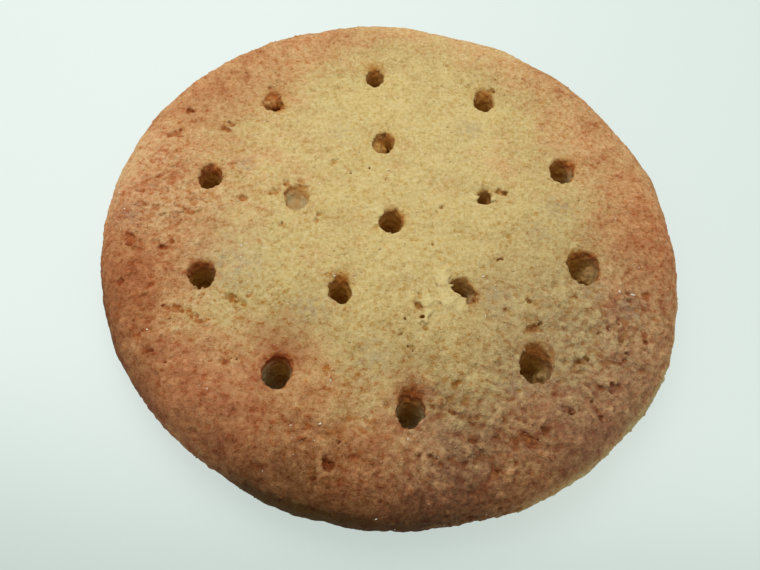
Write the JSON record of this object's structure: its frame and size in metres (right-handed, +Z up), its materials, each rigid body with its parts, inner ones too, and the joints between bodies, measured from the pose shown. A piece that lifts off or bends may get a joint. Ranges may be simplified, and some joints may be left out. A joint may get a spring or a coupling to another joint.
{
  "type": "whole wheat cracker",
  "caption": "Round whole wheat cracker with a rounded browned rim, a flat underside and a docked top with two rings of blind holes round a centre one.",
  "frame": {"origin": "middle of the footprint, on the flat underside", "axes": "+Z up through the thickness, -Y towards the viewer of the picture, +X to the right"},
  "size_m": [0.0697, 0.0699, 0.0076],
  "materials": {
    "crust": "dry matte baked crust, pale tan on top and browned at the rim"
  },
  "bodies": {
    "root": {"cracker": "crust"}
  },
  "joints": []
}
